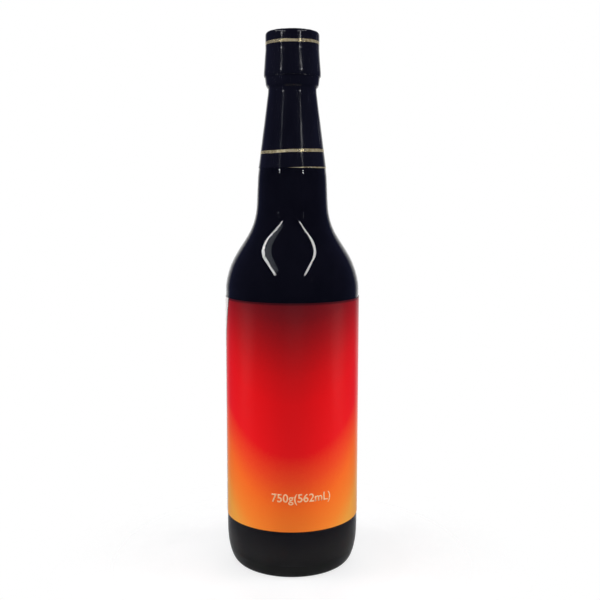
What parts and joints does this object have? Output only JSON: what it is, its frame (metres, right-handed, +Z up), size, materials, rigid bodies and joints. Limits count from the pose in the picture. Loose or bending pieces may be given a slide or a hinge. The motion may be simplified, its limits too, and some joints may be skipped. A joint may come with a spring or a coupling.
{
  "type": "soy sauce bottle",
  "caption": "Tall round clear-glass sauce bottle with a long neck, filled with dark sauce, with a screw cap under a black shrink sleeve and a wrap label that fades from maroon to orange.",
  "frame": {"origin": "middle of the foot ring, at the surface the bottle stands on", "axes": "+Z up along the bottle's axis, front of the front label towards -Y, +X to the right seen from the front"},
  "size_m": [0.0712, 0.0712, 0.2812],
  "materials": {
    "glass": "clear flint glass, polished",
    "sauce": "dark soy sauce, nearly black, red-brown where it is thin",
    "cap": "black moulded plastic",
    "sleeve": "glossy black shrink film with two pale gold bands",
    "label_front": "glossy coated paper, maroon at the top through red to orange at the bottom",
    "label_back": "glossy coated paper, off-white"
  },
  "bodies": {
    "root": {"glass": "glass", "sauce": "sauce", "cap": "cap", "sleeve": "sleeve", "label_front": "label_front", "label_back": "label_back"}
  },
  "joints": []
}
